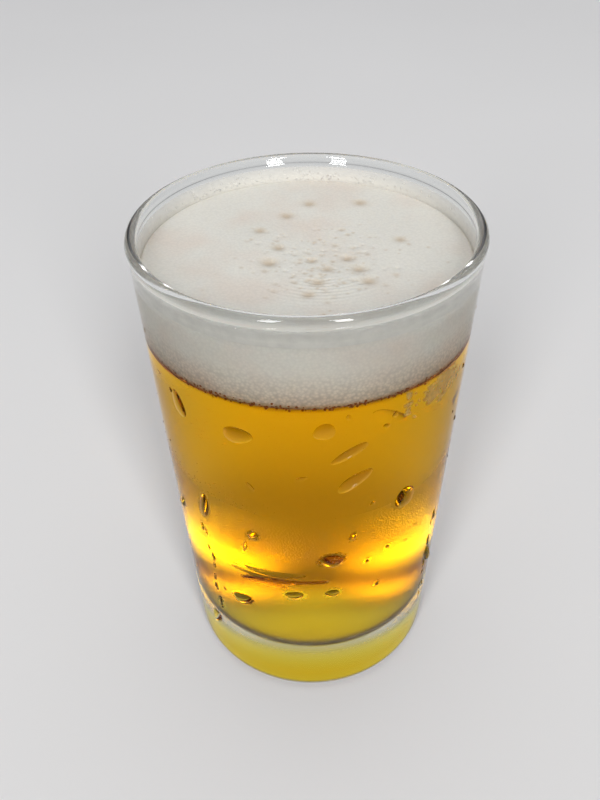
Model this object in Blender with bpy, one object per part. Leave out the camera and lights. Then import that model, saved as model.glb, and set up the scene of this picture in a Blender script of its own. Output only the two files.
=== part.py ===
"""A small tumbler of beer: the glass, the beer in it and the head of foam on top.

Units are metres and +Z is up. The origin is the middle of the underside, at the table.
-Y is the front of the glass. Everything is turned about Z, apart from the drops of
condensation on the outside of the glass and the hollows in the top of the foam.
"""

import math
from typing import NamedTuple

import bmesh
import bpy
import numpy as np
from mathutils import Matrix

MM = 0.001
GAP = 0.3 * MM              # clearance between pieces that touch in the real thing
SEGMENTS = 72               # flats round every turned piece
MERGE = 0.001 * MM          # points closer than this are one point
SHARP_ANGLE = 40            # edges that bend by more degrees than this are shaded sharp

# The glass
HEIGHT = 108.5 * MM
RIM_RADIUS = 32.5 * MM      # outside of the thick rounded lip
LIP_THICKNESS = 2.1 * MM
LIP_DEPTH = 2.6 * MM        # from the top of the lip down to the plain wall
LIP_SQUASH = 1.15           # the lip's round is a little taller than it is thick
LIP_ARC = (-30, 210)        # degrees that the lip's round covers, from outside over the top to inside
LIP_STEPS = 8
WALL_RADIUS_TOP = 32.2 * MM
WALL_RADIUS_BASE = 29.1 * MM
WALL_TOP = 1.6 * MM         # wall thickness under the lip
WALL_BASE = 2.2 * MM        # wall thickness at the floor
FLOOR = 15.0 * MM           # top of the solid glass base
CORNER_RADIUS = 6.0 * MM    # round between the floor and the inside of the wall
CORNER_STEPS = 6
FOOT_RADIUS = 3.5 * MM      # round between the underside and the outside of the wall
FOOT_STEPS = 5
RING_WIDTH = 5.0 * MM       # flat ring that the glass stands on
PUNT = 0.9 * MM             # how far the middle of the underside is pushed up
PUNT_SHARES = (0.0, 0.3, 0.55, 0.78)            # where the punt's curve has points, from its middle out
WALL_CUTS = (0.35 * HEIGHT, 0.65 * HEIGHT)      # heights that divide the wall into even faces

# What the glass holds
BEER_LEVEL = 90.0 * MM
FOAM_LEVEL = 103.0 * MM     # top of the foam at the wall
FOAM_RINGS = 20             # rings of the net over the top of the foam
FOAM_HOLLOW = 0.7 * MM      # how far the middle of the foam has sunk
FOAM_EDGE = 0.8 * MM        # round at the edge of the foam's top
WAVE_DEPTH = 0.22 * MM      # slow unevenness of the foam's top
WAVE_BREADTH = (4.6 * MM, 5.8 * MM)             # of one radian of it, across and along
WAVE_SHIFT = (0.7, -0.4)
HOLLOW_FALL = 1.6           # how fast a hollow ends beyond its radius


class Drop(NamedTuple):
    """One drop of condensation on the wall: where it sits and how large it is, in degrees and mm."""

    azimuth: float          # 0 at the front, growing to the right
    height: float
    width: float
    length: float
    slant: float            # degrees that its long side leans to the right
    bulge: float            # how far it stands proud of the wall


DROPS = (
    Drop(-23.3, 82.9, 5.6, 3.6, 0, 0.75),
    Drop(4.7, 85.5, 4.0, 3.4, 0, 0.55),
    Drop(-47.8, 83.7, 3.6, 5.6, -25, 0.60),
    Drop(13.0, 79.7, 2.0, 8.0, 62, 0.50),
    Drop(15.0, 72.4, 3.2, 7.2, 52, 0.65),
    Drop(36.2, 62.9, 4.4, 5.4, 20, 0.95),
    Drop(7.9, 50.3, 5.0, 3.4, 0, 1.00),
    Drop(-21.4, 56.0, 2.4, 3.0, 0, 0.55),
    Drop(-29.9, 32.5, 4.6, 3.2, -20, 0.75),
    Drop(-6.7, 38.5, 4.0, 2.6, 0, 0.65),
    Drop(8.4, 39.1, 3.0, 2.2, 0, 0.60),
    Drop(-43.5, 58.0, 2.6, 7.5, 10, 0.60),
    Drop(-48.9, 16.5, 2.8, 4.6, 0, 0.80),
    Drop(61.0, 33.0, 2.6, 5.0, 0, 0.90),
    Drop(118.0, 72.0, 3.6, 4.4, 0, 0.80),
    Drop(163.0, 55.0, 4.2, 4.8, 0, 0.85),
    Drop(-150.0, 78.0, 3.4, 5.6, 8, 0.70),
    Drop(-106.0, 48.0, 3.8, 4.2, 0, 0.85),
)


class Hollow(NamedTuple):
    """One burst bubble in the top of the foam: centre, radius and depth, in mm."""

    x: float
    y: float
    radius: float
    depth: float


HOLLOWS = (
    Hollow(-6.8, -4.0, 2.3, 0.75),
    Hollow(-5.2, 1.4, 1.9, 0.45),
    Hollow(-8.9, 8.2, 1.9, 0.40),
    Hollow(1.0, -3.2, 1.5, 0.50),
    Hollow(3.6, -6.5, 1.7, 0.60),
    Hollow(1.9, -11.3, 2.0, 0.70),
    Hollow(7.5, -2.7, 1.8, 0.65),
    Hollow(9.3, -6.9, 2.1, 0.60),
    Hollow(10.7, -11.2, 2.1, 0.55),
    Hollow(-3.8, 14.5, 2.0, 0.45),
    Hollow(0.7, 19.3, 1.9, 0.35),
    Hollow(11.1, 19.4, 2.0, 0.35),
    Hollow(0.2, -15.5, 1.7, 0.50),
    Hollow(17.7, 3.4, 1.8, 0.35),
)


def wall_outside(z: float) -> float:
    """Radius of the outside of the wall at height z: a straight cone that widens upwards."""
    share = z / (HEIGHT - LIP_DEPTH)
    return WALL_RADIUS_BASE + share * (WALL_RADIUS_TOP - WALL_RADIUS_BASE)


def wall_inside(z: float) -> float:
    """Radius of the inside of the wall at height z, where the wall thickens towards the floor."""
    share = z / (HEIGHT - LIP_DEPTH)
    return wall_outside(z) - WALL_BASE - share * (WALL_TOP - WALL_BASE)


def arc(centre: tuple[float, float], radius: float, start: float, end: float, steps: int,
        squash: float = 1.0) -> list[tuple[float, float]]:
    """Points along an arc in the (radius, height) plane, its height scaled by squash."""
    turns = (math.radians(start + (end - start) * i / steps) for i in range(steps + 1))
    return [(centre[0] + radius * math.cos(a), centre[1] + squash * radius * math.sin(a)) for a in turns]


def wall_angle(inner: bool) -> float:
    """Lean of the wall from the vertical, in degrees."""
    radius = wall_inside if inner else wall_outside
    return math.degrees(math.atan2(radius(FLOOR * 2) - radius(FLOOR), FLOOR))


def glass_profile() -> list[tuple[float, float]]:
    """The cut through the glass, from the middle of the underside round to the middle of the floor."""
    lean = wall_angle(inner=False)
    foot_centre = (wall_outside(FOOT_RADIUS) - FOOT_RADIUS, FOOT_RADIUS)
    ring_outer = foot_centre[0]
    ring_inner = ring_outer - RING_WIDTH
    punt = [(ring_inner * s, PUNT * (1 - s ** 2)) for s in PUNT_SHARES]
    foot = arc(foot_centre, FOOT_RADIUS, -90, -lean, FOOT_STEPS)
    lip_half = LIP_THICKNESS / 2
    lip_centre = (RIM_RADIUS - lip_half, HEIGHT - lip_half * LIP_SQUASH)
    lip = arc(lip_centre, lip_half, *LIP_ARC, LIP_STEPS, squash=LIP_SQUASH)
    wall_height = HEIGHT - LIP_DEPTH
    outer_wall = [(wall_outside(z), z) for z in (*WALL_CUTS, wall_height)]
    inner_wall = [(wall_inside(z), z) for z in (wall_height, *reversed(WALL_CUTS))]
    return (punt + [(ring_inner, 0.0)] + foot + outer_wall + lip + inner_wall
            + corner(0.0) + [(0.0, FLOOR)])


def corner(inset: float) -> list[tuple[float, float]]:
    """The round between wall and floor, from the wall down, moved into the hollow by inset."""
    radius = CORNER_RADIUS - inset
    centre = (wall_inside(FLOOR + CORNER_RADIUS) - CORNER_RADIUS, FLOOR + CORNER_RADIUS)
    return arc(centre, radius, -wall_angle(inner=True), -90, CORNER_STEPS)


def turned(name: str, profile: list[tuple[float, float]]) -> bpy.types.Object:
    """Spin a closed or axis-to-axis profile about Z into one closed body."""
    bm = bmesh.new()
    verts = [bm.verts.new((r, 0.0, z)) for r, z in profile]
    edges = [bm.edges.new(pair) for pair in zip(verts, verts[1:])]
    bmesh.ops.spin(bm, geom=verts + edges, cent=(0, 0, 0), axis=(0, 0, 1),
                   angle=math.tau, steps=SEGMENTS, use_merge=True)
    return finished(name, bm)


def finished(name: str, bm: bmesh.types.BMesh) -> bpy.types.Object:
    """Merge a mesh's seams and poles, turn its faces outwards and link it as an object."""
    bmesh.ops.remove_doubles(bm, verts=bm.verts, dist=MERGE)
    bmesh.ops.dissolve_degenerate(bm, edges=bm.edges, dist=MERGE)
    bmesh.ops.recalc_face_normals(bm, faces=bm.faces)
    mesh = bpy.data.meshes.new(name)
    bm.to_mesh(mesh)
    bm.free()
    mesh.shade_smooth()
    mesh.set_sharp_from_angle(angle=math.radians(SHARP_ANGLE))
    obj = bpy.data.objects.new(name, mesh)
    bpy.context.scene.collection.objects.link(obj)
    return obj


def drop_solid(drop: Drop) -> bmesh.types.BMesh:
    """A flattened ball that sits half inside the wall, so that half of it stands proud as a drop."""
    bm = bmesh.new()
    size = (drop.width * MM, 2 * drop.bulge * MM, drop.length * MM)
    bmesh.ops.create_icosphere(bm, subdivisions=2, radius=0.5, matrix=Matrix.Diagonal((*size, 1.0)))
    height = drop.height * MM
    place = (Matrix.Rotation(math.radians(drop.azimuth), 4, "Z")
             @ Matrix.Translation((0.0, -wall_outside(height), height))
             @ Matrix.Rotation(math.radians(wall_angle(inner=False)), 4, "X")
             @ Matrix.Rotation(math.radians(drop.slant), 4, "Y"))
    bmesh.ops.transform(bm, matrix=place, verts=bm.verts)
    return bm


def fuse_drops(glass: bpy.types.Object) -> None:
    """Join every drop to the glass with one Boolean union, and drop the loose balls afterwards."""
    balls = bpy.data.collections.new("drops")
    bpy.context.scene.collection.children.link(balls)
    for i, drop in enumerate(DROPS):
        ball = finished(f"drop_{i}", drop_solid(drop))
        bpy.context.scene.collection.objects.unlink(ball)
        balls.objects.link(ball)
    union = glass.modifiers.new("drops", "BOOLEAN")
    union.operation = "UNION"
    union.operand_type = "COLLECTION"
    union.collection = balls
    union.solver = "EXACT"
    bpy.context.view_layer.update()
    fused = bpy.data.meshes.new_from_object(glass.evaluated_get(bpy.context.evaluated_depsgraph_get()))
    glass.modifiers.remove(union)
    glass.data = fused
    for ball in list(balls.objects):
        bpy.data.objects.remove(ball)
    bpy.data.collections.remove(balls)


def build_glass() -> bpy.types.Object:
    """The tumbler: thick base, slightly tapered wall, rounded lip, and the drops on it."""
    glass = turned("glass", glass_profile())
    fuse_drops(glass)
    return glass


def build_beer() -> bpy.types.Object:
    """The beer, from the rounded floor of the glass up to the foam."""
    top = BEER_LEVEL - GAP / 2
    wall = [(wall_inside(z) - GAP, z) for z in (top, *reversed(WALL_CUTS))]
    return turned("beer", [(0.0, top)] + wall + corner(GAP) + [(0.0, FLOOR + GAP)])


def foam_height(x: np.ndarray, y: np.ndarray, edge_radius: float) -> np.ndarray:
    """Height of the foam's top: level at the wall, sunk and gently uneven inside, with its hollows."""
    reach = np.clip(np.hypot(x, y) / edge_radius, 0.0, 1.0)
    inside = 1 - reach ** 2
    waves = np.sin(x / WAVE_BREADTH[0] + WAVE_SHIFT[0]) * np.cos(y / WAVE_BREADTH[1] + WAVE_SHIFT[1])
    height = FOAM_LEVEL - inside * (FOAM_HOLLOW + WAVE_DEPTH * waves)
    for hollow in HOLLOWS:
        away = np.hypot(x - hollow.x * MM, y - hollow.y * MM) / (hollow.radius * MM)
        height = height - hollow.depth * MM * np.exp(-HOLLOW_FALL * away ** 2)
    return height


def build_foam() -> bpy.types.Object:
    """The head of foam: turned sides, and an uneven top made as rings of a polar net."""
    bottom = BEER_LEVEL + GAP / 2
    edge_radius = wall_inside(FOAM_LEVEL) - GAP
    shoulder = edge_radius - FOAM_EDGE
    sides = [(0.0, bottom), (wall_inside(bottom) - GAP, bottom), (edge_radius, FOAM_LEVEL - FOAM_EDGE)]
    sides += arc((shoulder, FOAM_LEVEL - FOAM_EDGE), FOAM_EDGE, 30, 60, 1)
    rings = [(shoulder * (1 - i / FOAM_RINGS), FOAM_LEVEL) for i in range(FOAM_RINGS + 1)]
    foam = turned("foam", sides + rings)
    for vert in foam.data.vertices:
        if vert.co.z > FOAM_LEVEL - 10 * MERGE:
            vert.co.z = float(foam_height(vert.co.x, vert.co.y, shoulder))
    return foam


def dress(obj: bpy.types.Object, colour: tuple[float, float, float], roughness: float,
          transmission: float = 0.0, ior: float = 1.45) -> None:
    """Give an object a plain material of its own: linear colour, roughness and how clear it is."""
    material = bpy.data.materials.new(obj.name)
    material.use_nodes = True
    shader = material.node_tree.nodes["Principled BSDF"]
    shader.inputs["Base Color"].default_value = (*colour, 1.0)
    shader.inputs["Metallic"].default_value = 0.0
    shader.inputs["Roughness"].default_value = roughness
    shader.inputs["IOR"].default_value = ior
    shader.inputs["Transmission Weight"].default_value = transmission
    obj.data.materials.clear()
    obj.data.materials.append(material)


def main() -> None:
    """Clear the scene, then build and dress the three pieces."""
    for obj in list(bpy.data.objects):
        bpy.data.objects.remove(obj)
    dress(build_glass(), (0.95, 0.96, 0.95), 0.02, transmission=1.0, ior=1.51)
    dress(build_beer(), (0.80, 0.38, 0.015), 0.05, transmission=0.8, ior=1.34)
    dress(build_foam(), (0.86, 0.83, 0.77), 0.70)


main()
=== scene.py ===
"""Looks of a small tumbler of beer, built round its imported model.

Units are metres, +Z is up, the origin is the middle of the underside and -Y is the front.
Light goes through the pieces in the real order: glass wall, beer, foam. Where two of them
touch, one reaches a hair into the other, so that no film of air lies between them.
"""

import logging
import math
from dataclasses import dataclass, field
from enum import Enum
from typing import NamedTuple

import bpy
import numpy as np
from mathutils import Matrix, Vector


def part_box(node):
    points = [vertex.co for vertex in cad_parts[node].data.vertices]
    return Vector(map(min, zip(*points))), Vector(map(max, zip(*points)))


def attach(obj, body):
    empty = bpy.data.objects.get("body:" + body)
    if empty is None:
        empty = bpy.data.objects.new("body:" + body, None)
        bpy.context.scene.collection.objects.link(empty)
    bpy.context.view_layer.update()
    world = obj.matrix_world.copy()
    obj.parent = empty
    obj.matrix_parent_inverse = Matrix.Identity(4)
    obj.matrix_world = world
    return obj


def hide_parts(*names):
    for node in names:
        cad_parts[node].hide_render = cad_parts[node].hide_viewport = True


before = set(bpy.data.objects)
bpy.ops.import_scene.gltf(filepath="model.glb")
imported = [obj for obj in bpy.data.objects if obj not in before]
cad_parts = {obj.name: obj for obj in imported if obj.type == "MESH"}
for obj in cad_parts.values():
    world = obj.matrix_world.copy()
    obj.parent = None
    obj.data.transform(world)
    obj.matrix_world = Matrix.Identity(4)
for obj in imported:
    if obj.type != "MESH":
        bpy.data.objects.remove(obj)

MM = 0.001
REACH = 0.03 * MM           # how far a filling or a drop reaches into the glass
HAIR = 0.001 * MM           # tells points on the foam's top from those of its rounded edge
SHEEN = 0.03                # roughness of a mirrored share, which keeps small lamps from sparkling
Array = np.ndarray
Colour = tuple[float, float, float, float]
log = logging.getLogger("beer")


class Slot(Enum):
    """The record's material slots."""

    GLASS = "glass"
    BEER = "beer"
    FOAM = "foam"


class Side(Enum):
    """The side of the glass wall that something sits on: its value is the way out of the wall."""

    OUTSIDE = 1.0
    INSIDE = -1.0


# Helpers


def linear(hex_code: str) -> Colour:
    """Turn an sRGB hex colour into the linear colour that a shader takes.

    Args:
        hex_code: six hex digits.

    Returns:
        Linear red, green and blue, with an alpha of 1.
    """
    values = [int(hex_code[i:i + 2], 16) / 255 for i in (0, 2, 4)]
    red, green, blue = (v / 12.92 if v <= 0.04045 else ((v + 0.055) / 1.055) ** 2.4 for v in values)
    return (red, green, blue, 1.0)


def add_node(tree: bpy.types.NodeTree, kind: str, inputs: dict | None = None,
             stops: dict[float, Colour] | None = None, **settings: object) -> bpy.types.Node:
    """Add one node, set its properties and fill its input sockets.

    Args:
        tree: the node tree that takes the node.
        kind: the node's type name, without "ShaderNode".
        inputs: for each input's name or number, a value or the output socket to link to it.
        stops: for a colour ramp, the colour at each place from 0 to 1.
        settings: the node's own properties.

    Returns:
        The new node.
    """
    node = tree.nodes.new("ShaderNode" + kind)
    for name, value in settings.items():
        setattr(node, name, value)
    for key, value in (inputs or {}).items():
        if isinstance(value, bpy.types.NodeSocket):
            tree.links.new(value, node.inputs[key])
        else:
            node.inputs[key].default_value = value
    for number, (place, colour) in enumerate(sorted((stops or {}).items())):
        elements = node.color_ramp.elements
        element = elements[number] if number < len(elements) else elements.new(place)
        element.position = place
        element.color = colour
    return node


def new_material(name: str) -> tuple[bpy.types.Material, bpy.types.NodeTree, bpy.types.Node]:
    """Make an empty node material.

    Args:
        name: the material's name.

    Returns:
        The material, its node tree and its output node.
    """
    material = bpy.data.materials.new(name)
    material.use_nodes = True
    tree = material.node_tree
    tree.nodes.clear()
    return material, tree, add_node(tree, "OutputMaterial")


def clear_surface(tree: bpy.types.NodeTree, ior: float, fall: float,
                  bending: dict | None = None) -> bpy.types.NodeSocket:
    """Shader of a clear surface: it bends light, and mirrors the Fresnel share raised to a power.

    Args:
        tree: the material's node tree.
        ior: index of refraction.
        fall: the power; the higher it is, the less the surface mirrors where it is seen straight on.
        bending: further inputs of the share that is bent, such as a roughness or a normal.

    Returns:
        The shader's output.
    """
    slant = add_node(tree, "Fresnel", {"IOR": ior})
    share = add_node(tree, "Math", {0: slant.outputs["Fac"], 1: fall}, operation="POWER")
    smooth = {"Color": linear("FFFFFF"), "Roughness": 0.0, "IOR": ior}
    bent = add_node(tree, "BsdfRefraction", {**smooth, **(bending or {})})
    mirrored = add_node(tree, "BsdfGlossy", {"Color": linear("FFFFFF"), "Roughness": SHEEN})
    return add_node(tree, "MixShader", {0: share.outputs["Value"], 1: bent.outputs["BSDF"],
                                        2: mirrored.outputs["BSDF"]}).outputs["Shader"]


def make_object(name: str, points: Array, faces: list[Array], materials: list[bpy.types.Material],
                slots: Array | None = None) -> bpy.types.Object:
    """Put a smooth mesh into the scene, with its place in its points.

    Args:
        name: the piece's name.
        points: one row for each point.
        faces: arrays of point numbers, one row for each face, each array with faces of one size.
        materials: the materials of its slots.
        slots: the slot number of each face, or None for all in the first.

    Returns:
        The new object.
    """
    mesh = bpy.data.meshes.new(name)
    corners = np.concatenate([f.ravel() for f in faces]).astype(np.int32)
    sizes = np.concatenate([np.full(len(f), f.shape[1]) for f in faces])
    starts = np.concatenate([[0], np.cumsum(sizes)[:-1]]).astype(np.int32)
    mesh.vertices.add(len(points))
    mesh.vertices.foreach_set("co", np.asarray(points, np.float32).ravel())
    mesh.loops.add(len(corners))
    mesh.loops.foreach_set("vertex_index", corners)
    mesh.polygons.add(len(sizes))
    mesh.polygons.foreach_set("loop_start", starts)
    for material in materials:
        mesh.materials.append(material)
    if slots is not None:
        mesh.polygons.foreach_set("material_index", np.asarray(slots, np.int32))
    mesh.update(calc_edges=True)
    mesh.validate()
    mesh.shade_smooth()
    obj = bpy.data.objects.new(name, mesh)
    bpy.context.scene.collection.objects.link(obj)
    return obj


def arc(centre: tuple[float, float], radius: float, start: float, end: float, count: int,
        squash: float = 1.0) -> Array:
    """Points on an arc in the (radius, height) plane.

    The point at angle a is the centre plus radius times (cos a, squash times sin a).

    Args:
        centre: radius and height of the arc's centre.
        radius: the arc's radius.
        start: first angle, in degrees from the outward direction.
        end: last angle, in degrees.
        count: number of points.
        squash: scale of the arc's height.

    Returns:
        One row of radius and height for each point.
    """
    turn = np.radians(np.linspace(start, end, count))
    return np.column_stack((centre[0] + radius * np.cos(turn), centre[1] + squash * radius * np.sin(turn)))


def turned(profile: Array, segments: int) -> tuple[Array, list[Array]]:
    """Turn a profile that starts and ends on the axis about Z.

    The point at profile place (r, z) and turn t is (r cos t, r sin t, z). The two ends are single
    points, and the profile runs anticlockwise, seen with the radius to the right.

    Args:
        profile: one row of radius and height for each point.
        segments: flats round the axis.

    Returns:
        The points, and the faces as an array of four-sided and one of three-sided faces.
    """
    turn = np.arange(segments) * (math.tau / segments)
    rings = profile[1:-1]
    ring_points = np.stack((rings[:, :1] * np.cos(turn), rings[:, :1] * np.sin(turn),
                            np.repeat(rings[:, 1:], segments, axis=1)), axis=-1).reshape(-1, 3)
    ends = np.array([(0.0, 0.0, profile[0, 1]), (0.0, 0.0, profile[-1, 1])])
    here = np.arange(segments)
    after = (here + 1) % segments
    base = np.arange(len(rings) - 1)[:, None] * segments
    quads = np.stack((base + here, base + after, base + segments + after, base + segments + here), axis=-1)
    first, last = len(ring_points), len(ring_points) + 1
    top = (len(rings) - 1) * segments
    fans = np.concatenate((np.column_stack((np.full(segments, first), after, here)),
                           np.column_stack((np.full(segments, last), top + here, top + after))))
    return np.concatenate((ring_points, ends)), [quads.reshape(-1, 4), fans]


# The glass


@dataclass(frozen=True)
class SodaLimeGlass:
    """Soda-lime glass, pressed in a mould and fire polished: clear, mirror smooth, faintly wavy."""

    ior: float = 1.51
    body: str = "FBFDFC"
    wave: float = 6 * MM        # breadth of the slight waves that the mould leaves
    wave_depth: float = 0.010 * MM
    film_tone: str = "DEDBD3"
    film_roughness: float = 0.4
    film_patch: float = 2.0 * MM
    film_loose: tuple[float, float] = (0.9, 1.05)   # how far the cover varies from patch to patch
    film_cover: tuple[float, float] = (1.0, 0.45)   # where the film begins to thin out, and at its top
    film_run: float = 1.3 * MM  # height over the foam's edge at which the film begins to thin out
    fog_fade: float = 12 * MM   # how far in from each end of its band the fog is whole
    fog_roughness: float = 0.32
    fog_fall: float = 1.7       # how fast the fogged wall's mirror fades away from a slant
    grain: float = 0.45 * MM    # breadth of the beads in the fog, coarser than real ones so that they show
    grain_depth: float = 0.08 * MM
    grain_height: float = 57 * MM   # where the grain shows most
    grain_spread: float = 13 * MM   # how far above and below that it fades out
    wet_fall: float = 4.0       # how fast the mirror of the wetted wall fades away from a slant

    def dry(self) -> bpy.types.Material:
        """Material of the surfaces that meet air.

        Returns:
            The material.
        """
        material, tree, out = new_material("soda_lime_glass")
        place = add_node(tree, "TexCoord").outputs["Object"]
        waves = add_node(tree, "TexNoise", {"Vector": place, "Scale": 1 / self.wave, "Detail": 1.0})
        bump = add_node(tree, "Bump", {"Height": waves.outputs["Fac"], "Distance": self.wave_depth,
                                       "Strength": 1.0})
        shader = add_node(tree, "BsdfPrincipled", {
            "Base Color": linear(self.body), "Roughness": 0.0, "IOR": self.ior,
            "Transmission Weight": 1.0, "Normal": bump.outputs["Normal"]})
        tree.links.new(shader.outputs["BSDF"], out.inputs["Surface"])
        return material

    def fogged(self, low: float, high: float) -> bpy.types.Material:
        """Material of the outer wall where the cold beer fogs it, but for where drops sit or have run.

        The roughness is the fog's own times the share of fog: a smooth step in from each end of the
        band, times what the drops left. The grain shows on the front only, by a smooth step of the
        distance from its height, because on the far wall it would show through the beer as rings.

        Args:
            low: height at which the fog begins.
            high: height at which it ends.

        Returns:
            The material.
        """
        material, tree, out = new_material("soda_lime_glass_fogged")
        place = add_node(tree, "TexCoord").outputs["Object"]
        apart = add_node(tree, "SeparateXYZ", {"Vector": place})
        height = apart.outputs["Z"]
        front = add_node(tree, "MapRange", {"Value": apart.outputs["Y"], "From Min": 0.0,
                                            "From Max": -self.fog_fade}).outputs["Result"]
        rise, fall = (
            add_node(tree, "MapRange", {"Value": height, "From Min": end, "From Max": whole},
                     interpolation_type="SMOOTHSTEP").outputs["Result"]
            for end, whole in ((low, low + self.fog_fade), (high, high - self.fog_fade)))
        left = add_node(tree, "Attribute", attribute_name="fog").outputs["Fac"]
        band = add_node(tree, "Math", {0: rise, 1: fall}, operation="MULTIPLY").outputs["Value"]
        share = add_node(tree, "Math", {0: band, 1: left}, operation="MULTIPLY").outputs["Value"]
        rough = add_node(tree, "Math", {0: share, 1: self.fog_roughness}, operation="MULTIPLY")
        over = add_node(tree, "Math", {0: height, 1: self.grain_height}, operation="SUBTRACT")
        away = add_node(tree, "Math", {0: over.outputs["Value"]}, operation="ABSOLUTE")
        ridge = add_node(tree, "MapRange", {"Value": away.outputs["Value"], "From Min": self.grain_spread,
                                            "From Max": 0.0, "To Max": front},
                         interpolation_type="SMOOTHSTEP").outputs["Result"]
        beads = add_node(tree, "TexVoronoi", {"Vector": place, "Scale": 1 / self.grain}).outputs["Distance"]
        strength = add_node(tree, "Math", {0: ridge, 1: share}, operation="MULTIPLY").outputs["Value"]
        bump = add_node(tree, "Bump", {"Height": beads, "Distance": self.grain_depth, "Strength": strength})
        shader = clear_surface(tree, self.ior, self.fog_fall, {
            "Roughness": rough.outputs["Value"], "Normal": bump.outputs["Normal"]})
        tree.links.new(shader, out.inputs["Surface"])
        return material

    def filmed(self, low: float, high: float) -> bpy.types.Material:
        """Material of the inner wall above the foam, clouded by the film that the foam left.

        Args:
            low: height of the foam's edge, where the film is thickest.
            high: height at which it has run off.

        Returns:
            The material.
        """
        material, tree, out = new_material("soda_lime_glass_filmed")
        place = add_node(tree, "TexCoord").outputs["Object"]
        patches = add_node(tree, "TexNoise", {"Vector": place, "Scale": 1 / self.film_patch, "Detail": 3.0})
        height = add_node(tree, "SeparateXYZ", {"Vector": place}).outputs["Z"]
        thick = add_node(tree, "MapRange", {
            "Value": height, "From Min": low + self.film_run, "From Max": high,
            "To Min": self.film_cover[0], "To Max": self.film_cover[1]})
        loose = add_node(tree, "MapRange", {
            "Value": patches.outputs["Fac"], "From Min": 0.3, "From Max": 0.7,
            "To Min": self.film_loose[0], "To Max": self.film_loose[1]})
        cover = add_node(tree, "Math", {0: thick.outputs["Result"], 1: loose.outputs["Result"]},
                         operation="MULTIPLY", use_clamp=True)
        clear = add_node(tree, "BsdfPrincipled", {
            "Base Color": linear(self.body), "Roughness": 0.0, "IOR": self.ior, "Transmission Weight": 1.0})
        film = add_node(tree, "BsdfPrincipled", {
            "Base Color": linear(self.film_tone), "Roughness": self.film_roughness})
        shader = add_node(tree, "MixShader", {
            0: cover.outputs["Value"], 1: clear.outputs["BSDF"], 2: film.outputs["BSDF"]})
        tree.links.new(shader.outputs["Shader"], out.inputs["Surface"])
        return material

    def wetted(self) -> bpy.types.Material:
        """Material of the inner wall under the beer, which mirrors only light that meets it at a slant.

        Returns:
            The material.
        """
        material, tree, out = new_material("soda_lime_glass_wetted")
        tree.links.new(clear_surface(tree, self.ior, self.wet_fall), out.inputs["Surface"])
        return material


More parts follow.
